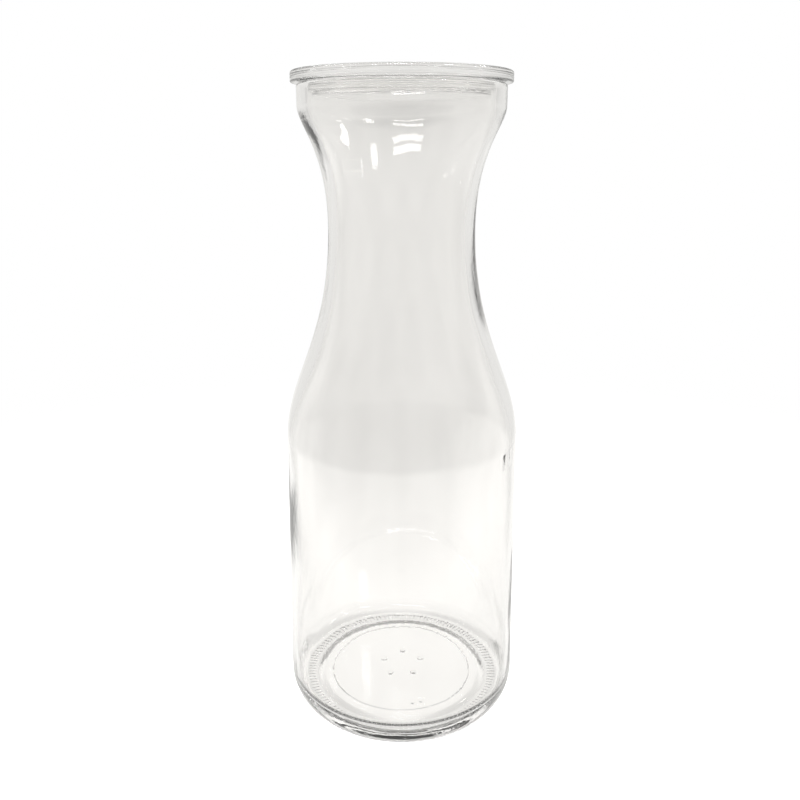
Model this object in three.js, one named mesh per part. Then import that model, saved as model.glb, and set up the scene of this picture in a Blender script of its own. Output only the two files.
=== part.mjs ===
// A one litre glass milk bottle in millimetres, +Z up: a pressed and blown bottle with a waisted neck,
// a clear press-on lid, and the soft ring that seals the lid in the bottle's mouth.
// The origin is the middle of the bearing ring that the bottle stands on.
import * as THREE from "three";

// The bottle's outside
const bottleHeight = 257.6;
const heelRadius = 49.3;
const heelHeight = 10.5;
const bodyTaper = 1.3; // how much narrower the body is at the shoulder than at the heel
const shoulderHeight = 119.5;
const shoulderBend = 21; // how far up the body's straight line carries into the shoulder
const waistRadius = 29.2;
const waistHeight = 204.5;
const waistBend = 44; // how far below the waist the neck stays nearly upright
const flareBend = 29; // the same above the waist
const collarWall = 4.2;
const collarHeight = 7;
const collarBend = 7; // how softly the neck's flare turns into the collar
const lipRound = 1;

// The bottle's inside
const boreRadius = 35.8;
const boreDepth = 7.5;
const throatBend = 8.6; // how softly the bore turns into the flare inside
const throatDrop = 0.5; // how far the flare inside starts below the one outside
const neckWall = 4.7;
const shoulderWall = 3.4;
const bodyWall = 2.4;
const innerHeelRound = 5;
const floorHeight = 7.2; // the glass inside, above the surface the bottle stands on
const floorCrown = 1.4;

// The bearing ring and the push-up inside it
const heelInset = 6.2;
const bearingWidth = 4.4;
const pushUpRise = 1.5;
const pushUpRun = 6.2;
const plateInset = 2; // the round bottom plate of the mould leaves a step inside the push-up
const plateStep = 0.5;
const plateCrown = 0.9;

// The lid and its sealing ring
const lidOverhang = 2.2;
const lidThickness = 4.2;
const lidRound = 0.6;
const lidSeatGap = 0.3;
const plugClearance = 1.7;
const plugToe = 1.2; // the plug below its groove
const plugRound = 0.5;
const sealClearance = 0.35; // from the ring to the bore
const sealGap = 0.3; // from the ring to each face of its groove
const sealWidth = 2;
const sealHeight = 2;
const sealDrop = 1.2; // from the lid's seat to the top of the ring's groove

// What two pieces or two faces share
const shoulderRadius = heelRadius - bodyTaper;
const collarRadius = boreRadius + collarWall;
const lidSeat = bottleHeight + lidSeatGap;
const grooveTop = lidSeat - sealDrop;
const grooveBottom = grooveTop - sealHeight - 2 * sealGap;

const sides = 48; // facets round each turned piece
const steps = 10; // points along a long curve
const cornerSteps = 3; // points along a small round

const glass = new THREE.MeshStandardMaterial({
  color: 0xdfe3e0,
  roughness: 0.05,
  metalness: 0,
  transparent: true,
  opacity: 0.35,
});
const clearPlastic = new THREE.MeshStandardMaterial({
  color: 0xe6e8e8,
  roughness: 0.12,
  metalness: 0,
  transparent: true,
  opacity: 0.5,
});
const softRing = new THREE.MeshStandardMaterial({
  color: 0xe9e6de,
  roughness: 0.5,
  metalness: 0,
});

// The points of a path, each of its curves cut in its own number of steps.
function pathPoints(path, stepCounts) {
  const points = [path.curves[0].getPoint(0)];
  path.curves.forEach((curve, i) => {
    points.push(...curve.getPoints(stepCounts[i]).slice(1));
  });
  return points;
}

// A closed half section, drawn anticlockwise in radius and height, turned about the Z axis.
function turned(name, points, material) {
  const geometry = new THREE.LatheGeometry(points, sides);
  geometry.rotateX(Math.PI / 2);
  const mesh = new THREE.Mesh(geometry, material);
  mesh.name = name;
  return mesh;
}

// A rectangular half section with its corners rounded, from the inner radius to the outer one.
function roundedRing(inner, outer, low, high, round) {
  const path = new THREE.Path();
  path.moveTo(inner + round, low);
  path.lineTo(outer - round, low);
  path.absarc(outer - round, low + round, round, -Math.PI / 2, 0);
  path.lineTo(outer, high - round);
  path.absarc(outer - round, high - round, round, 0, Math.PI / 2);
  path.lineTo(inner + round, high);
  path.absarc(inner + round, high - round, round, Math.PI / 2, Math.PI);
  path.lineTo(inner, low + round);
  path.absarc(inner + round, low + round, round, Math.PI, 1.5 * Math.PI);
  const c = cornerSteps;
  return pathPoints(path, [1, c, 1, c, 1, c, 1, c]);
}

// The bottle: up the outside from the middle of the base, over the lip, and down the inside.
function makeBottle() {
  const bearingOuter = heelRadius - heelInset;
  const bearingInner = bearingOuter - bearingWidth;
  const pushUpRadius = bearingInner - pushUpRun;
  const plateRadius = pushUpRadius - plateInset;
  const lowPlate = pushUpRise + plateStep;
  const collarBase = bottleHeight - lipRound - collarHeight;
  const path = new THREE.Path();
  const counts = [];
  const curve = (count) => counts.push(count);

  // The base, from its middle out to the bearing ring
  path.moveTo(0, lowPlate + plateCrown);
  path.quadraticCurveTo(plateRadius / 2, lowPlate + plateCrown, plateRadius, lowPlate);
  curve(3);
  path.lineTo(plateRadius + plateStep, pushUpRise);
  curve(1);
  path.lineTo(pushUpRadius, pushUpRise);
  curve(1);
  path.bezierCurveTo(
    pushUpRadius + pushUpRun / 2,
    pushUpRise,
    bearingInner - pushUpRun / 3,
    0,
    bearingInner,
    0,
  );
  curve(cornerSteps);
  path.lineTo(bearingOuter, 0);
  curve(1);

  // The heel, the body, the shoulder, the neck and the collar
  path.absellipse(bearingOuter, heelHeight, heelInset, heelHeight, -Math.PI / 2, 0);
  curve(6);
  path.lineTo(shoulderRadius, shoulderHeight);
  curve(1);
  path.bezierCurveTo(
    shoulderRadius,
    shoulderHeight + shoulderBend,
    waistRadius,
    waistHeight - waistBend,
    waistRadius,
    waistHeight,
  );
  curve(steps);
  path.bezierCurveTo(
    waistRadius,
    waistHeight + flareBend,
    collarRadius,
    collarBase - collarBend,
    collarRadius,
    collarBase,
  );
  curve(steps);
  path.lineTo(collarRadius, bottleHeight - lipRound);
  curve(1);
  path.absarc(collarRadius - lipRound, bottleHeight - lipRound, lipRound, 0, Math.PI / 2);
  curve(cornerSteps);

  // The mouth, the throat, and the inside of the neck and shoulder
  const boreEnd = bottleHeight - boreDepth;
  const neckInner = waistRadius - neckWall;
  const throatFoot = waistHeight - throatDrop;
  const innerShoulder = shoulderRadius - bodyWall;
  const innerShoulderHeight = shoulderHeight - shoulderWall;
  path.lineTo(boreRadius + lipRound, bottleHeight);
  curve(1);
  path.absarc(boreRadius + lipRound, bottleHeight - lipRound, lipRound, Math.PI / 2, Math.PI);
  curve(cornerSteps);
  path.lineTo(boreRadius, boreEnd);
  curve(1);
  path.bezierCurveTo(
    boreRadius,
    boreEnd - throatBend,
    neckInner,
    throatFoot + flareBend,
    neckInner,
    throatFoot,
  );
  curve(steps);
  path.bezierCurveTo(
    neckInner,
    waistHeight - waistBend,
    innerShoulder,
    innerShoulderHeight + shoulderBend,
    innerShoulder,
    innerShoulderHeight,
  );
  curve(steps);

  // The inside of the body and the floor
  const innerHeel = heelRadius - bodyWall;
  path.lineTo(innerHeel, floorHeight + innerHeelRound);
  curve(1);
  path.absarc(
    innerHeel - innerHeelRound,
    floorHeight + innerHeelRound,
    innerHeelRound,
    0,
    -Math.PI / 2,
    true,
  );
  curve(6);
  path.quadraticCurveTo(innerHeel / 3, floorHeight + floorCrown, 0, floorHeight + floorCrown);
  curve(3);
  return turned("bottle", pathPoints(path, counts), glass);
}

// The lid: a plate over the lip with a solid plug in the bore, grooved for the sealing ring.
function makeLid() {
  const top = lidSeat + lidThickness;
  const plateEdge = collarRadius + lidOverhang;
  const plugRadius = boreRadius - plugClearance;
  const plugBottom = grooveBottom - plugToe;
  const grooveRadius = boreRadius - sealClearance - sealWidth - sealGap;
  const path = new THREE.Path();
  path.moveTo(0, plugBottom);
  path.lineTo(plugRadius - plugRound, plugBottom);
  path.absarc(plugRadius - plugRound, plugBottom + plugRound, plugRound, -Math.PI / 2, 0);
  path.lineTo(plugRadius, grooveBottom);
  path.lineTo(grooveRadius, grooveBottom);
  path.lineTo(grooveRadius, grooveTop);
  path.lineTo(plugRadius, grooveTop);
  path.lineTo(plugRadius, lidSeat);
  path.lineTo(plateEdge - lidRound, lidSeat);
  path.absarc(plateEdge - lidRound, lidSeat + lidRound, lidRound, -Math.PI / 2, 0);
  path.lineTo(plateEdge, top - lidRound);
  path.absarc(plateEdge - lidRound, top - lidRound, lidRound, 0, Math.PI / 2);
  path.lineTo(0, top);
  const c = cornerSteps;
  const counts = [1, c, 1, 1, 1, 1, 1, 1, c, 1, c, 1];
  return turned("lid", pathPoints(path, counts), clearPlastic);
}

// The sealing ring: it lies in the plug's groove and closes on itself.
function makeSeal() {
  const outer = boreRadius - sealClearance;
  const high = grooveTop - sealGap;
  const round = Math.min(sealWidth, sealHeight) / 3;
  const points = roundedRing(outer - sealWidth, outer, high - sealHeight, high, round);
  return turned("lid_seal", points, softRing);
}

const group = new THREE.Group();
group.add(makeBottle());
group.add(makeLid());
group.add(makeSeal());

export default group;
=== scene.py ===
import math
import bpy
import mathutils
import numpy as np
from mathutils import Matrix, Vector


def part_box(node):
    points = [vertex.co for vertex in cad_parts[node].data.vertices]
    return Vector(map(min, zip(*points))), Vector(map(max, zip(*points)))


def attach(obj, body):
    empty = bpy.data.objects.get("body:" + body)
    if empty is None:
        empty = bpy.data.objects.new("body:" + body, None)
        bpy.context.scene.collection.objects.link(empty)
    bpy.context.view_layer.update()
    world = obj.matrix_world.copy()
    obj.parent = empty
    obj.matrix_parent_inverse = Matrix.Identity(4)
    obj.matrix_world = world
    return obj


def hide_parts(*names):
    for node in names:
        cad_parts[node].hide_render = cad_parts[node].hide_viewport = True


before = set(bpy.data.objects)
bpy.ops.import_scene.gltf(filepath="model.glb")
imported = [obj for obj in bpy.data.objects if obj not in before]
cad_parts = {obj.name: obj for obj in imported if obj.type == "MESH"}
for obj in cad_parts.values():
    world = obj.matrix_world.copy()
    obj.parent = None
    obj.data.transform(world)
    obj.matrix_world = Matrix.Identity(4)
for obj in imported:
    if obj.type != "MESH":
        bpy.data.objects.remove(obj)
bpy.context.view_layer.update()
mm = 0.001


# Camera

cameraView = {
    "distance": 0.3274,  # metres from the bottle's axis
    "height": 0.2370,
    "tiltDown": 15.0,  # degrees
    "lens": 36.85,
    "sensor": 36.0,
    "shiftUp": -0.050,
    "sideStep": -0.0007,
}


def makeCamera(v):
    data = bpy.data.cameras.new("camera")
    data.lens, data.sensor_width = v["lens"], v["sensor"]
    data.shift_y = v["shiftUp"]
    camera = bpy.data.objects.new("camera", data)
    camera.location = (v["sideStep"], -v["distance"], v["height"])
    camera.rotation_euler = (math.radians(90 - v["tiltDown"]), 0, 0)
    bpy.context.scene.collection.objects.link(camera)
    bpy.context.scene.camera = camera


makeCamera(cameraView)
print("camera set")


# Curves in a half section, each an array of (radius, height) rows in millimetres


# straight line: start + (end - start) t
def line(start, end, count):
    t = np.linspace(0, 1, count + 1)[:, None]
    return np.array(start) * (1 - t) + np.array(end) * t


# cubic curve: the four points weighted by (1-t)^3, 3(1-t)^2 t, 3(1-t) t^2 and t^3
def curve(a, b, c, d, count):
    t = np.linspace(0, 1, count + 1)[:, None]
    a, b, c, d = map(np.array, (a, b, c, d))
    return a * (1 - t) ** 3 + 3 * b * (1 - t) ** 2 * t + 3 * c * (1 - t) * t**2 + d * t**3


# part of an ellipse: centre + (rx cos a, rz sin a), a in degrees
def arc(centre, rx, rz, fromAngle, toAngle, count):
    a = np.radians(np.linspace(fromAngle, toAngle, count + 1))
    return np.stack([centre[0] + rx * np.cos(a), centre[1] + rz * np.sin(a)], 1)


# the curves end to end, without their shared ends; zone says which curve each row came from
def joined(parts):
    points, zones = [parts[0][1][:1]], [parts[0][0]]
    for zone, part in parts:
        points.append(part[1:])
        zones += [zone] * (len(part) - 1)
    return np.concatenate(points), np.array(zones)


# smooth rise from 0 at low to 1 at high: 3t^2 - 2t^3
def rise(x, low, high):
    t = np.clip((x - low) / (high - low), 0, 1)
    return t * t * (3 - 2 * t)


# A closed turned surface through rings of points, each joined to the next by quads. A ring of one point is
# a pole, and a ring may have twice or half as many points as its neighbour, which gives triangles instead.
def turnedMesh(name, rings, closed=False):
    starts = np.cumsum([0] + [len(r) for r in rings])
    quads, triangles = [], []
    gaps = len(rings) if closed else len(rings) - 1
    for i in range(gaps):
        following = (i + 1) % len(rings)
        m, n = len(rings[i]), len(rings[following])
        a, b = starts[i], starts[following]
        j = np.arange(max(min(m, n), 1))
        if m == n and m > 1:
            k = (j + 1) % m
            quads.append(np.stack([a + j, a + k, b + k, b + j], 1))
        elif m == 1:
            j = np.arange(n)
            triangles.append(np.stack([np.full(n, a), b + (j + 1) % n, b + j], 1))
        elif n == 1:
            j = np.arange(m)
            triangles.append(np.stack([a + j, a + (j + 1) % m, np.full(m, b)], 1))
        elif n == 2 * m:
            k, mid, last = (j + 1) % m, 2 * j + 1, (2 * j + 2) % n
            triangles.append(np.stack([a + j, b + mid, b + 2 * j], 1))
            triangles.append(np.stack([a + j, a + k, b + mid], 1))
            triangles.append(np.stack([a + k, b + last, b + mid], 1))
        else:
            k, mid, last = (j + 1) % n, 2 * j + 1, (2 * j + 2) % m
            triangles.append(np.stack([a + 2 * j, a + mid, b + j], 1))
            triangles.append(np.stack([a + mid, b + k, b + j], 1))
            triangles.append(np.stack([a + mid, a + last, b + k], 1))
    faces = np.concatenate([q.ravel() for q in quads + triangles])
    sizes = np.concatenate([np.full(len(q), q.shape[1]) for q in quads + triangles])
    mesh = bpy.data.meshes.new(name)
    mesh.vertices.add(int(starts[-1]))
    mesh.vertices.foreach_set("co", np.concatenate(rings).astype(np.float32).ravel())
    mesh.loops.add(len(faces))
    mesh.loops.foreach_set("vertex_index", faces.astype(np.int32))
    mesh.polygons.add(len(sizes))
    loopStarts = np.concatenate([[0], np.cumsum(sizes)[:-1]])
    mesh.polygons.foreach_set("loop_start", loopStarts.astype(np.int32))
    mesh.polygons.foreach_set("use_smooth", np.ones(len(sizes), bool))
    mesh.update(calc_edges=True)
    mesh.validate()
    piece = bpy.data.objects.new(name, mesh)
    bpy.context.scene.collection.objects.link(piece)
    return piece


# the rings of a turned surface: x = r cos(angle), y = r sin(angle), z = h,
# with r and h moved by shift(angle, r, h, zone)
def turnedRings(points, zones, columns, shift):
    rings = []
    for (radius, height), zone, n in zip(points, zones, columns):
        if n == 1:
            rings.append(np.array([[0, 0, height]]) * mm)
            continue
        angle = np.arange(n) / n * 2 * np.pi
        r, h = shift(angle, radius, height, zone)
        rings.append(np.stack([r * np.cos(angle), r * np.sin(angle), h + 0 * angle], 1) * mm)
    return rings


# The bottle

bottleShape = {
    "height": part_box("bottle")[1].z / mm,
    "heelRadius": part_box("bottle")[1].x / mm,
    "heelHeight": 10.5,
    "heelInset": 6.2,
    "bodyTaper": 1.3,
    "shoulderHeight": 119.5,
    "shoulderBend": 21,
    "waistRadius": 29.2,
    "waistHeight": 204.5,
    "waistBend": 44,
    "flareBend": 29,
    "collarWall": 4.2,
    "collarHeight": 7,
    "collarBend": 7,
    "lipRound": 1,
    "boreRadius": 35.8,
    "boreDepth": 7.5,
    "throatBend": 8.6,
    "throatDrop": 0.5,  # how far the flare inside lies below the one outside
    "neckWall": 4.7,
    "shoulderWall": 3.4,
    "bodyWall": 2.4,
    "innerHeelRun": 5,
    "innerHeelRise": 5,
    "floorHeight": 7.2,
    "floorCrown": 1.4,  # the floor's rise at its middle
    "bearingWidth": 4.4,
    "pushUpRise": 1.5,
    "pushUpRun": 6.2,
    "plateInset": 2,
    "plateStep": 0.5,
    "stepRun": 0.7,  # how wide the slope at the plate's edge is
    "fineBelow": 9,  # how far below the shoulder the rows are close together
    "plateCrown": 0.9,
}
bottleFinish = {
    "columns": 256,
    "knurls": 128,  # teeth round the bearing ring
    "knurlDepth": 0.35,
    "knurlEdge": 0.5,  # the teeth fade out over this width
    "seamHeight": 0.032,
    "seamWidth": 0.55,
    "seamTurn": 1.92,  # radians; the other seam is opposite
    "innerWave": 0.16,
    "outerWave": 0.035,
    "outerInset": 1.7,  # the outside is this many waves further in, so that no swell passes the CAD size
    "dotHeight": 0.35,
    "dotEdge": 0.7,
    "barHeight": 0.16,
    # heights from the foot and from the top over which the swells fade in
    "outerCalm": ((3, 22), (9, 25)),
    "innerCalm": ((14, 40), (8, 18)),
    "streakRise": (110, 190),
    "streakShare": 0.04,
    # swells: (waves round the wall, height for a radian, start, share)
    "outerSwells": [(2, 41, 0, 1), (3, -23, 1.3, 0.7)],
    "innerSwells": [(2, -19, 0.4, 1), (3, 13, 2.1, 0.8), (5, -29, 4.0, 0.6)],
    "streaks": [(11, 37, 0, 1), (17, -53, 1.0, 1)],
}


def bottleSection(s):
    shoulderRadius = s["heelRadius"] - s["bodyTaper"]
    collarRadius = s["boreRadius"] + s["collarWall"]
    collarBase = s["height"] - s["lipRound"] - s["collarHeight"]
    bearingOuter = s["heelRadius"] - s["heelInset"]
    bearingInner = bearingOuter - s["bearingWidth"]
    pushUp = bearingInner - s["pushUpRun"]
    plate = pushUp - s["plateInset"]
    plateLow = s["pushUpRise"] + s["plateStep"]
    lip = s["height"] - s["lipRound"]
    boreEnd = s["height"] - s["boreDepth"]
    throatFoot = s["waistHeight"] - s["throatDrop"]
    neckInner = s["waistRadius"] - s["neckWall"]
    innerShoulder = shoulderRadius - s["bodyWall"]
    innerShoulderHeight = s["shoulderHeight"] - s["shoulderWall"]
    innerHeel = s["heelRadius"] - s["bodyWall"]
    innerHeelTop = s["floorHeight"] + s["innerHeelRise"]
    floorEdge = innerHeel - s["innerHeelRun"]
    plateTop = plateLow + s["plateCrown"]
    plateFoot = plate + s["stepRun"]
    fineRows = s["shoulderHeight"] - s["fineBelow"]
    crown = s["floorHeight"] + s["floorCrown"]
    return joined([
        ("plate", curve((0, plateTop), (plate / 3, plateTop),
                        (plate * 0.7, plateLow + s["plateCrown"] * 0.5), (plate, plateLow), 40)),
        ("base", curve((plate, plateLow), (plate + s["stepRun"] / 2, plateLow),
                       (plate + 0.2, s["pushUpRise"]), (plateFoot, s["pushUpRise"]), 6)),
        ("base", line((plateFoot, s["pushUpRise"]), (pushUp, s["pushUpRise"]), 6)),
        ("base", curve((pushUp, s["pushUpRise"]), (pushUp + s["pushUpRun"] / 2, s["pushUpRise"]),
                       (bearingInner - s["pushUpRun"] / 3, 0), (bearingInner, 0), 8)),
        ("knurl", line((bearingInner, 0), (bearingOuter, 0), 9)),
        ("heel", arc((bearingOuter, s["heelHeight"]), s["heelInset"], s["heelHeight"], -90, 0, 20)),
        ("body", line((s["heelRadius"], s["heelHeight"]), (shoulderRadius + 0.1, fineRows), 12)),
        ("body", line((shoulderRadius + 0.1, fineRows), (shoulderRadius, s["shoulderHeight"]), 22)),
        ("shoulder", curve((shoulderRadius, s["shoulderHeight"]),
                           (shoulderRadius, s["shoulderHeight"] + s["shoulderBend"]),
                           (s["waistRadius"], s["waistHeight"] - s["waistBend"]),
                           (s["waistRadius"], s["waistHeight"]), 44)),
        ("neck", curve((s["waistRadius"], s["waistHeight"]),
                       (s["waistRadius"], s["waistHeight"] + s["flareBend"]),
                       (collarRadius, collarBase - s["collarBend"]), (collarRadius, collarBase), 34)),
        ("collar", line((collarRadius, collarBase), (collarRadius, lip), 5)),
        ("lip", arc((collarRadius - s["lipRound"], lip), s["lipRound"], s["lipRound"], 0, 90, 6)),
        ("lip", line((collarRadius - s["lipRound"], s["height"]),
                     (s["boreRadius"] + s["lipRound"], s["height"]), 3)),
        ("lip", arc((s["boreRadius"] + s["lipRound"], lip), s["lipRound"], s["lipRound"], 90, 180, 6)),
        ("bore", line((s["boreRadius"], lip), (s["boreRadius"], boreEnd), 5)),
        ("throat", curve((s["boreRadius"], boreEnd), (s["boreRadius"], boreEnd - s["throatBend"]),
                         (neckInner, throatFoot + s["flareBend"]), (neckInner, throatFoot), 40)),
        ("innerNeck", curve((neckInner, throatFoot), (neckInner, s["waistHeight"] - s["waistBend"]),
                            (innerShoulder, innerShoulderHeight + s["shoulderBend"]),
                            (innerShoulder, innerShoulderHeight), 36)),
        ("innerBody", line((innerShoulder, innerShoulderHeight), (innerHeel, innerHeelTop), 14)),
        ("innerHeel", arc((floorEdge, innerHeelTop), s["innerHeelRun"], s["innerHeelRise"], 0, -90, 24)),
        ("floor", curve((floorEdge, s["floorHeight"]),
                        (floorEdge * 0.66, s["floorHeight"] + s["floorCrown"] * 0.4),
                        (floorEdge / 3, crown), (0, crown), 18)),
    ])


# Round dots on the base plate: a ring of five and a bar of two, as (angle in degrees, radius, dot size).
baseDots = [(72 * k + 18, 9.0, 1.5) for k in range(5)] + [(-80, 26.5, 1.1), (-72, 26.5, 1.1)]
# Raised bars at the shoulder: (angle in degrees, height, half width round the wall, half length)
shoulderBars = [(-20, 115.3, 0.7, 3.2), (-26, 114.6, 0.7, 3.4), (-32, 114.0, 0.7, 3.2)]


# a sum of swells, each share * sin(n angle + height / rise + start)
def swellSum(swells, angle, height):
    return sum(share * np.sin(n * angle + height / climb + start) for n, climb, start, share in swells)


# 0 at the foot and at the top, 1 between: a rise from below times a rise from above
def calmBetween(fades, height, top):
    foot, head = fades
    return rise(height, *foot) * rise(top - height, *head)


# How far each zone's surface leaves the plain turned shape. Dots: the base goes down by the dot's height
# within its radius. Teeth: the ring rises by depth * (1 + cos(n angle)) / 2. Seams: the wall goes out by
# height * exp(-(x/w)^2), x being the distance across the seam. Bars: it goes out in a soft-edged box.
def bottleShift(s, f):
    bearingMiddle = s["heelRadius"] - s["heelInset"] - s["bearingWidth"] / 2

    def shift(angle, radius, height, zone):
        r, h = radius + 0 * angle, height + 0 * angle
        if zone == "plate":
            x, y = radius * np.cos(angle), radius * np.sin(angle)
            for turn, away, size in baseDots:
                a = math.radians(turn)
                gap = np.hypot(x - away * math.cos(a), y - away * math.sin(a))
                h = h - f["dotHeight"] * rise(size - gap, 0, f["dotEdge"])
        if zone == "knurl":
            fade = rise(s["bearingWidth"] / 2 - abs(radius - bearingMiddle), 0, f["knurlEdge"])
            tooth = 0.5 + 0.5 * np.cos(angle * f["knurls"])
            h = h + f["knurlDepth"] * fade * tooth
        if zone in ("body", "shoulder", "neck", "heel"):
            calm = calmBetween(f["outerCalm"], height, s["height"])
            r = r + f["outerWave"] * calm * (swellSum(f["outerSwells"], angle, height) - f["outerInset"])
            seam = np.exp(-((np.sin(angle - f["seamTurn"]) * radius / f["seamWidth"]) ** 2))
            r = r + f["seamHeight"] * calm * seam
        if zone == "body":
            for turn, level, halfWidth, halfLength in shoulderBars:
                along = (angle - math.radians(turn) + np.pi) % (2 * np.pi) - np.pi
                across = rise(halfWidth - np.abs(along) * radius, -0.5, 0.5)
                upright = rise(halfLength - abs(height - level), -0.4, 0.4)
                r = r + f["barHeight"] * across * upright
        if zone in ("throat", "innerNeck", "innerBody"):
            calm = calmBetween(f["innerCalm"], height, s["height"])
            drawn = f["streakShare"] * rise(height, *f["streakRise"])
            swell = swellSum(f["innerSwells"], angle, height)
            r = r + f["innerWave"] * calm * (swell + drawn * swellSum(f["streaks"], angle, height))
        return r, h

    return shift


def makeBottle(s, f):
    points, zones = bottleSection(s)
    columns = np.full(len(points), f["columns"])
    columns[zones == "knurl"] = 2 * f["columns"]
    columns[[0, -1]] = 1
    return turnedMesh("glassBottle", turnedRings(points, zones, columns, bottleShift(s, f)))


bottle = makeBottle(bottleShape, bottleFinish)
print("bottle made:", len(bottle.data.polygons), "faces")


# The lid and its sealing ring

lidShape = {
    "radius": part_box("lid")[1].x / mm,
    "top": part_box("lid")[1].z / mm,
    "bottom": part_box("lid")[0].z / mm,
    "thickness": 4.2,
    "edgeRound": 0.6,
    "shoulderRound": 0.9,  # upper edge
    "edgeLines": (1.3, 2.5),  # heights above the plate's underside
    "lineDepth": 0.03,
    "lineWidth": 0.3,
    "rimWave": 0.28,
    "rimHeight": 0.6,  # the wave moves only what is lower than this above the bottom
    "rimRise": (20, 33),  # radii over which the wave fades in
    "rimWaves": [(3, 0.5, 0.5), (7, 2.0, 0.3), (13, 0, 0.2)],  # (waves round the rim, start, share)
    "plugClearance": 1.7,
    "plugRound": 0.5,
    "sealDrop": 1.2,
    "grooveHeight": 2.6,
    "grooveDepth": 0.95,
    "cornerRound": 0.1,  # the groove's corners
    "seatRound": 0.15,
    "columns": 192,
}


def lidSection(s, boreRadius):
    seat = s["top"] - s["thickness"]
    plug = boreRadius - s["plugClearance"]
    low = s["bottom"] + s["plugRound"]
    grooveTop = seat - s["sealDrop"]
    grooveBottom = grooveTop - s["grooveHeight"]
    groove = plug - s["grooveDepth"]
    edge = s["radius"]
    turn = s["edgeRound"]
    upper = s["shoulderRound"]
    c = s["cornerRound"]
    k = s["seatRound"]
    return joined([
        ("face", line((0, s["bottom"]), (plug - s["plugRound"], s["bottom"]), 10)),
        ("plug", arc((plug - s["plugRound"], low), s["plugRound"], s["plugRound"], -90, 0, 6)),
        ("plug", line((plug, low), (plug, grooveBottom - c), 2)),
        ("plug", arc((plug - c, grooveBottom - c), c, c, 0, 90, 3)),
        ("plug", line((plug - c, grooveBottom), (groove + c, grooveBottom), 2)),
        ("plug", arc((groove + c, grooveBottom + c), c, c, -90, -180, 3)),
        ("plug", line((groove, grooveBottom + c), (groove, grooveTop - c), 2)),
        ("plug", arc((groove + c, grooveTop - c), c, c, 180, 90, 3)),
        ("plug", line((groove + c, grooveTop), (plug - c, grooveTop), 2)),
        ("plug", arc((plug - c, grooveTop + c), c, c, -90, 0, 3)),
        ("plug", line((plug, grooveTop + c), (plug, seat - k), 2)),
        ("plug", arc((plug + k, seat - k), k, k, 180, 90, 3)),
        ("seat", line((plug + k, seat), (edge - turn, seat), 6)),
        ("edge", arc((edge - turn, seat + turn), turn, turn, -90, 0, 8)),
        ("edge", line((edge, seat + turn), (edge, s["top"] - upper), 28)),
        ("edge", arc((edge - upper, s["top"] - upper), upper, upper, 0, 90, 10)),
        ("face", line((edge - upper, s["top"]), (0, s["top"]), 16)),
    ])


# Turned lines round the lid's edge, each depth * exp(-(height from the line / width)^2) deep, and a wave
# in the plug's lower rim, which rises by share * (1 - cos(n angle + start)) summed over its waves.
def lidShift(s):
    seat = s["top"] - s["thickness"]

    def shift(angle, radius, height, zone):
        r, h = radius + 0 * angle, height + 0 * angle
        if zone == "edge" and radius > s["radius"] - 0.01:
            for level in s["edgeLines"]:
                r = r - s["lineDepth"] * np.exp(-(((height - seat - level) / s["lineWidth"]) ** 2))
        if height < s["bottom"] + s["rimHeight"]:
            wave = sum(share * (1 - np.cos(n * angle + start)) for n, start, share in s["rimWaves"])
            h = h + s["rimWave"] * wave * rise(radius, *s["rimRise"])
        return r, h

    return shift


def plainShift(angle, radius, height, zone):
    return radius + 0 * angle, height + 0 * angle


def makeLid(s):
    points, zones = lidSection(s, bottleShape["boreRadius"])
    columns = np.full(len(points), s["columns"])
    columns[[0, -1]] = 1
    return turnedMesh("clearLid", turnedRings(points, zones, columns, lidShift(s)))


lid = makeLid(lidShape)

sealShape = {
    "outer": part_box("lid_seal")[1].x / mm,
    "low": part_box("lid_seal")[0].z / mm,
    "high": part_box("lid_seal")[1].z / mm,
    "width": 2.0,
    "squareness": 2.6,  # 2 is an ellipse, more is squarer
    "around": 28,
    "columns": 192,
}


# A ring whose section is a superellipse: centre + half size times sign(cos) |cos|^(2/n), and so with sin.
def makeSeal(s):
    t = np.linspace(0, 2 * np.pi, s["around"], endpoint=False)
    power = 2 / s["squareness"]
    middle, half = (s["low"] + s["high"]) / 2, (s["high"] - s["low"]) / 2
    r = s["outer"] - s["width"] / 2 + s["width"] / 2 * np.sign(np.cos(t)) * np.abs(np.cos(t)) ** power
    h = middle + half * np.sign(np.sin(t)) * np.abs(np.sin(t)) ** power
    points = np.stack([r, h], 1)
    rings = turnedRings(points, ["ring"] * len(points), [s["columns"]] * len(points), plainShift)
    return turnedMesh("softSeal", rings, closed=True)


seal = makeSeal(sealShape)
print("lid and seal made")


# Materials


def newGroup(name, inputs, outputs):
    group = bpy.data.node_groups.new(name, "ShaderNodeTree")
    for label, default in inputs.items():
        socket = group.interface.new_socket(label, in_out="INPUT", socket_type="NodeSocketFloat")
        socket.default_value = default
    for label in outputs:
        group.interface.new_socket(label, in_out="OUTPUT", socket_type="NodeSocketFloat")
    return group, group.nodes.new("NodeGroupInput"), group.nodes.new("NodeGroupOutput")


def addNode(tree, kind, **settings):
    node = tree.nodes.new(kind)
    for key, value in settings.items():
        if key in node.inputs.keys():
            node.inputs[key].default_value = value
        else:
            setattr(node, key, value)
    return node


def mathNode(tree, operation, a, b=None, clamp=False):
    node = tree.nodes.new("ShaderNodeMath")
    node.operation, node.use_clamp = operation, clamp
    for i, value in enumerate((a, b)):
        if isinstance(value, (int, float)):
            node.inputs[i].default_value = value
        elif value is not None:
            tree.links.new(value, node.inputs[i])
    return node.outputs[0]


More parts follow.
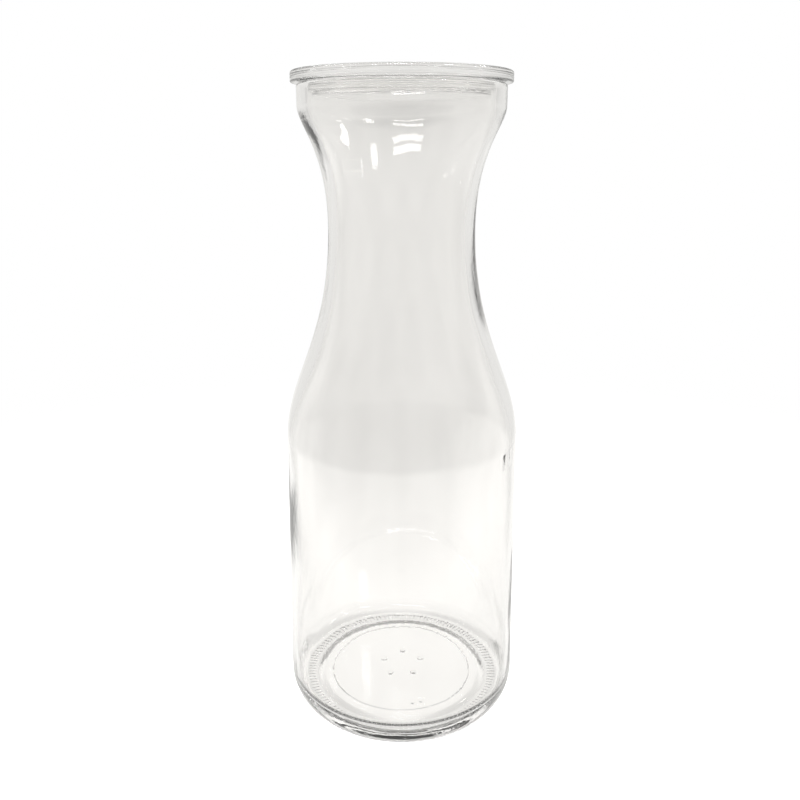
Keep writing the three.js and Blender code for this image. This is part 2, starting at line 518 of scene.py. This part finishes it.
# a value carried smoothly from one span to another, where an end is a number or another node's output
def spanNode(tree, value, fromSpan, toSpan=(0, 1)):
    node = addNode(tree, "ShaderNodeMapRange", interpolation_type="SMOOTHSTEP")
    tree.links.new(value, node.inputs["Value"])
    for label, end in zip(("From Min", "From Max", "To Min", "To Max"), (*fromSpan, *toSpan)):
        if isinstance(end, (int, float)):
            node.inputs[label].default_value = end
        else:
            tree.links.new(end, node.inputs[label])
    return node.outputs[0]


# Moulded, fire-polished surface: slow ripples, fine orange peel, and smudges that dull the gloss.
def surfaceGroup():
    group, start, end = newGroup(
        "mouldedSurface",
        {"Ripple Scale": 60, "Peel Scale": 900, "Peel Share": 0.1,
         "Smudge Scale": 35, "Gloss": 0.01, "Dull": 0.05},
        ["Height", "Roughness"],
    )
    place = group.nodes.new("ShaderNodeTexCoord").outputs["Object"]
    stretch = addNode(group, "ShaderNodeMapping", Scale=(1, 1, 0.45))
    group.links.new(place, stretch.inputs["Vector"])
    ripple = addNode(group, "ShaderNodeTexNoise", Detail=1.5, Roughness=0.4)
    peel = addNode(group, "ShaderNodeTexNoise", Detail=2.0)
    smudge = addNode(group, "ShaderNodeTexNoise", Detail=4.0, Roughness=0.62, Distortion=0.6)
    for noise, scale in ((ripple, "Ripple Scale"), (peel, "Peel Scale"), (smudge, "Smudge Scale")):
        group.links.new(stretch.outputs[0], noise.inputs["Vector"])
        group.links.new(start.outputs[scale], noise.inputs["Scale"])
    peelPart = mathNode(group, "MULTIPLY", peel.outputs[0], start.outputs["Peel Share"])
    group.links.new(mathNode(group, "ADD", ripple.outputs[0], peelPart), end.inputs["Height"])
    gloss = (start.outputs["Gloss"], start.outputs["Dull"])
    group.links.new(spanNode(group, smudge.outputs[0], (0.5, 0.75), gloss), end.inputs["Roughness"])
    return group


# Fine hair scratches from handling: thin lines where a stretched, bent noise crosses its middle value.
def scratchGroup():
    group, start, end = newGroup("handlingScratches", {"Scale": 120, "Width": 0.02}, ["Scratch"])
    place = group.nodes.new("ShaderNodeTexCoord").outputs["Object"]
    lines = []
    for turn in (0.4, 1.7):
        along = addNode(group, "ShaderNodeMapping", Rotation=(0.2, 0.1, turn), Scale=(1, 0.06, 0.3))
        group.links.new(place, along.inputs["Vector"])
        noise = addNode(group, "ShaderNodeTexNoise", Detail=1.0, Distortion=0.3)
        group.links.new(along.outputs[0], noise.inputs["Vector"])
        group.links.new(start.outputs["Scale"], noise.inputs["Scale"])
        off = mathNode(group, "ABSOLUTE", mathNode(group, "SUBTRACT", noise.outputs[0], 0.5))
        near = mathNode(group, "DIVIDE", off, start.outputs["Width"])
        lines.append(mathNode(group, "SUBTRACT", 1.0, near, clamp=True))
    group.links.new(mathNode(group, "MAXIMUM", lines[0], lines[1]), end.inputs["Scratch"])
    return group


moulded = surfaceGroup()
scratches = scratchGroup()


def newMaterial(name):
    material = bpy.data.materials.new(name)
    material.use_nodes = True
    return material, material.node_tree, material.node_tree.nodes["Principled BSDF"]


def placeGroup(tree, group, values):
    node = tree.nodes.new("ShaderNodeGroup")
    node.node_tree = group
    for key, value in values.items():
        node.inputs[key].default_value = value
    return node


def bumpFrom(tree, shader, height, strength, distance):
    bump = addNode(tree, "ShaderNodeBump", Strength=strength, Distance=distance)
    tree.links.new(height, bump.inputs["Height"])
    tree.links.new(bump.outputs[0], shader.inputs["Normal"])


# colour that drifts a little between two tints over the surface
def tint(tree, shader, first, second, scale):
    noise = addNode(tree, "ShaderNodeTexNoise", Scale=scale, Detail=2.0)
    place = tree.nodes.new("ShaderNodeTexCoord").outputs["Object"]
    tree.links.new(place, noise.inputs["Vector"])
    ramp = tree.nodes.new("ShaderNodeValToRGB")
    ramp.color_ramp.elements[0].color, ramp.color_ramp.elements[1].color = (*first, 1), (*second, 1)
    ramp.color_ramp.elements[0].position, ramp.color_ramp.elements[1].position = 0.35, 0.65
    tree.links.new(noise.outputs[0], ramp.inputs[0])
    tree.links.new(ramp.outputs[0], shader.inputs["Base Color"])


bottleGlassLook = {
    "tints": ((0.99, 0.985, 0.978), (0.98, 0.975, 0.967)),
    "ior": 1.52,
    "surface": {"Ripple Scale": 55, "Peel Scale": 700, "Peel Share": 0.05,
                "Smudge Scale": 30, "Gloss": 0.0, "Dull": 0.03},
    "rippleHeight": 0.00025,
    "scuff": (0.0001, 0.0007, 0.35),  # the bearing ring: fully scuffed below, ends at, roughness
}
lidLook = {
    "tints": ((0.98, 0.978, 0.972), (0.97, 0.967, 0.96)),
    "ior": 1.49,
    "surface": {"Ripple Scale": 25, "Peel Scale": 600, "Peel Share": 0.0,
                "Smudge Scale": 14, "Gloss": 0.0, "Dull": 0.003},
    "rippleHeight": 0.00002,
    "scratches": {"Scale": 150, "Width": 0.002},
    "scratchDull": 0.06,
    "scratchedAbove": lidShape["top"] * mm - 0.0001,  # only the upper face is rubbed
}
sealLook = {
    "tints": ((0.985, 0.985, 0.98), (0.97, 0.97, 0.965)),
    "ior": 1.41,
    "surface": {"Ripple Scale": 150, "Peel Scale": 1500, "Peel Share": 0.5,
                "Smudge Scale": 90, "Gloss": 0.06, "Dull": 0.16},
    "rippleHeight": 0.00004,
}


def heightOf(tree):
    split = tree.nodes.new("ShaderNodeSeparateXYZ")
    tree.links.new(tree.nodes.new("ShaderNodeTexCoord").outputs["Object"], split.inputs[0])
    return split.outputs[2]


def clearMaterial(name, look):
    material, tree, shader = newMaterial(name)
    tint(tree, shader, *look["tints"], 40)
    shader.inputs["IOR"].default_value = look["ior"]
    shader.inputs["Transmission Weight"].default_value = 1.0
    surface = placeGroup(tree, moulded, look["surface"])
    height, rough = surface.outputs["Height"], surface.outputs["Roughness"]
    if "scratches" in look:
        scratch = placeGroup(tree, scratches, look["scratches"]).outputs["Scratch"]
        above = mathNode(tree, "GREATER_THAN", heightOf(tree), look["scratchedAbove"])
        scratch = mathNode(tree, "MULTIPLY", scratch, above)
        scratch = mathNode(tree, "MULTIPLY", scratch, look["scratchDull"])
        rough = mathNode(tree, "ADD", rough, scratch, clamp=True)
    if "scuff" in look:
        below, clean, scuffed = look["scuff"]
        worn = spanNode(tree, heightOf(tree), (below, clean), (scuffed, 0))
        rough = mathNode(tree, "ADD", rough, worn, clamp=True)
    tree.links.new(rough, shader.inputs["Roughness"])
    bumpFrom(tree, shader, height, 1.0, look["rippleHeight"])
    return material


for piece, name, look in (
    (bottle, "bottleGlass", bottleGlassLook),
    (lid, "clearLidPlastic", lidLook),
    (seal, "softSealRubber", sealLook),
):
    piece.data.materials.append(clearMaterial(name, look))

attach(bottle, "bottle_body")
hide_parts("bottle")
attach(lid, "lid_body")
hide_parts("lid")
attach(seal, "lid_body")
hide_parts("lid_seal")
print("materials and bodies set")


# Floor, light and surroundings

roomLook = {
    "floorFade": (0.12, 0.5),  # metres from the bottle: where the floor starts to thin out, where it ends
    "floorColour": (0.93, 0.93, 0.925),
    "floorDrop": 0.0002,
    "floorRoughness": 0.9,
    "floorSheen": 0.1,
    "backdrop": 1.0,
    # (height of the ray as a sine, brightness), from straight down to straight up
    # the darker tones straight down are painted shade: the bottle's own shadow on the table, which rays
    # through the glass see here in place of the floor
    "tones": [(-1, 0.72), (-0.88, 0.8), (-0.79, 1.0), (-0.54, 1.06), (-0.48, 1.0), (-0.42, 0.9),
              (-0.395, 0.87), (-0.365, 0.79), (-0.335, 0.79), (-0.27, 0.83), (-0.14, 0.81), (0.0, 0.78),
              (0.06, 0.65), (0.3, 0.7), (0.5, 0.6), (0.7, 0.35), (1, 0.3)],
    # dark cards: (bearing from, to, height from, to, brightness), in degrees, clockwise from behind
    "cards": [(-97, -25, -50, -14, 0.15), (26, 42, -40, -20, 0.1), (46, 70, 38, 58, 0.02)],
    "cardSoftness": 4,
    "warmth": (0.993, 0.972),  # green and blue against red
    "folds": 8.0,  # how many times the tones sag round the room
    "sag": 0.25,
    "driftScale": 3.0,
    "drift": 0.1,
    "patchScale": 6.6,
    "patchTone": 0.12,
    "panel": (0.5, 0.6),  # brightness of the dark panels low down and high up
    "panelStart": (-0.33, -0.2),  # ray heights between which it changes
    "panelEdge": (-0.95, -0.7),
}


# A flat square whose surface thins out to nothing with distance, so that it has no far edge.
def makeFloor(s):
    half = s["floorFade"][1]
    mesh = bpy.data.meshes.new("floor")
    corners = [(-half, -half, 0), (half, -half, 0), (half, half, 0), (-half, half, 0)]
    mesh.from_pydata(corners, [], [(0, 1, 2, 3)])
    floor = bpy.data.objects.new("floor", mesh)
    bpy.context.scene.collection.objects.link(floor)
    floor.location.z = -s["floorDrop"]
    floor.visible_transmission = False
    floor.visible_glossy = False
    material, tree, shader = newMaterial("paleFloor")
    tint(tree, shader, s["floorColour"], [c * 0.985 for c in s["floorColour"]], 6)
    shader.inputs["Roughness"].default_value = s["floorRoughness"]
    shader.inputs["Specular IOR Level"].default_value = s["floorSheen"]
    place = tree.nodes.new("ShaderNodeTexCoord").outputs["Object"]
    away = addNode(tree, "ShaderNodeVectorMath", operation="LENGTH")
    tree.links.new(place, away.inputs[0])
    tree.links.new(spanNode(tree, away.outputs["Value"], s["floorFade"], (1, 0)), shader.inputs["Alpha"])
    mesh.materials.append(material)


# 1 between low and high and 0 outside, with soft edges
def windowNode(tree, value, low, high, soft):
    sides = [spanNode(tree, value, (edge - soft, edge + soft)) for edge in (low, high)]
    return mathNode(tree, "SUBTRACT", *sides)


# What the glass sees: a tone for each height of the ray, moved by the bearing and by a slow noise, with
# dark panels midway between the folds, and painted shade straight down for the bottle's shadow on the
# table. The camera itself sees plain white.
def makeWorld(s):
    world = bpy.data.worlds.new("studio")
    bpy.context.scene.world = world
    world.use_nodes = True
    tree = world.node_tree
    tree.nodes.clear()
    direction = tree.nodes.new("ShaderNodeTexCoord").outputs["Generated"]
    split = tree.nodes.new("ShaderNodeSeparateXYZ")
    tree.links.new(direction, split.inputs[0])
    x, y, z = split.outputs
    bearing = mathNode(tree, "ARCTAN2", y, x)
    wave = mathNode(tree, "COSINE", mathNode(tree, "MULTIPLY", bearing, s["folds"]))
    noise = addNode(tree, "ShaderNodeTexNoise", Scale=s["driftScale"], Detail=1.0)
    tree.links.new(direction, noise.inputs["Vector"])
    patches = addNode(tree, "ShaderNodeTexNoise", Scale=s["patchScale"], Detail=2.0, Distortion=0.5)
    tree.links.new(direction, patches.inputs["Vector"])
    sag = mathNode(tree, "MULTIPLY", mathNode(tree, "SUBTRACT", wave, 1.0), s["sag"] / 2)
    drift = mathNode(tree, "MULTIPLY", mathNode(tree, "SUBTRACT", noise.outputs[0], 0.5), s["drift"])
    level = mathNode(tree, "ADD", z, mathNode(tree, "ADD", sag, drift))
    tones = tree.nodes.new("ShaderNodeValToRGB")
    tree.links.new(mathNode(tree, "ADD", mathNode(tree, "MULTIPLY", level, 0.5), 0.5), tones.inputs[0])
    elements = tones.color_ramp.elements
    while len(elements) < len(s["tones"]):
        elements.new(0.5)
    for element, (height, tone) in zip(elements, s["tones"]):
        element.position = height * 0.5 + 0.5
        element.color = (tone, tone * s["warmth"][0], tone * s["warmth"][1], 1)
    panelTone = spanNode(tree, z, s["panelStart"], s["panel"])
    seen = tree.nodes.new("ShaderNodeBackground")
    tree.links.new(tones.outputs[0], seen.inputs["Color"])
    dark = spanNode(tree, wave, s["panelEdge"], (panelTone, 1))
    heading = mathNode(tree, "ARCTAN2", x, y)
    soft = math.radians(s["cardSoftness"])
    for *angles, brightness in s["cards"]:
        fromTurn, toTurn, low, high = map(math.radians, angles)
        across = windowNode(tree, heading, fromTurn, toTurn, soft)
        upright = windowNode(tree, z, math.sin(low), math.sin(high), soft)
        inside = mathNode(tree, "MULTIPLY", across, upright)
        shade = mathNode(tree, "SUBTRACT", 1.0, mathNode(tree, "MULTIPLY", inside, 1 - brightness))
        dark = mathNode(tree, "MULTIPLY", dark, shade)
    path = tree.nodes.new("ShaderNodeLightPath")
    through = addNode(tree, "ShaderNodeMapRange")  # mirrored rays see neither panels nor cards
    tree.links.new(path.outputs["Is Glossy Ray"], through.inputs["Value"])
    tree.links.new(dark, through.inputs["To Min"])
    patch = mathNode(tree, "SUBTRACT", patches.outputs[0], 0.5)
    uneven = mathNode(tree, "ADD", mathNode(tree, "MULTIPLY", patch, s["patchTone"]), 1.0)
    tree.links.new(mathNode(tree, "MULTIPLY", through.outputs[0], uneven), seen.inputs["Strength"])
    plain = tree.nodes.new("ShaderNodeBackground")
    plain.inputs["Color"].default_value = (1, 1, 1, 1)
    plain.inputs["Strength"].default_value = s["backdrop"]
    either = tree.nodes.new("ShaderNodeMixShader")
    tree.links.new(path.outputs["Is Camera Ray"], either.inputs[0])
    tree.links.new(seen.outputs[0], either.inputs[1])
    tree.links.new(plain.outputs[0], either.inputs[2])
    output = tree.nodes.new("ShaderNodeOutputWorld")
    tree.links.new(either.outputs[0], output.inputs["Surface"])


lampAim = (0, 0, 0.15)
lampList = {
    # name: (place, width, depth, watts, seen in the glass)
    "ceilingPanel": ((-0.2, -1.0, 1.24), 1.0, 0.15, 36, True),
    "windowPane": ((0.85, -0.75, 0.9), 0.22, 0.3, 12, True),
    "sideLamp": ((1.15, 0.2, 1.0), 0.2, 0.2, 8, True),
    "stripLamp": ((1.05, -0.25, 0.62), 0.025, 0.25, 1.2, True),
    "softLeft": ((-0.9, -0.5, 0.7), 0.5, 0.8, 14, False),
    "softRight": ((0.9, 0.3, 0.8), 0.4, 0.6, 12, False),
}


def makeLamp(name, place, width, depth, watts, seen):
    data = bpy.data.lights.new(name, "AREA")
    data.shape, data.size, data.size_y, data.energy = "RECTANGLE", width, depth, watts
    lamp = bpy.data.objects.new(name, data)
    lamp.location = place
    aim = mathutils.Vector(lampAim) - lamp.location
    lamp.rotation_euler = aim.to_track_quat("-Z", "Y").to_euler()
    lamp.visible_glossy = lamp.visible_transmission = seen
    bpy.context.scene.collection.objects.link(lamp)


makeFloor(roomLook)
makeWorld(roomLook)
for lampName, values in lampList.items():
    makeLamp(lampName, *values)

scene = bpy.context.scene
scene.view_settings.view_transform = "Standard"
scene.cycles.max_bounces = 24
scene.cycles.transmission_bounces = 24
scene.cycles.glossy_bounces = 8
scene.cycles.transparent_max_bounces = 16
print("room set")
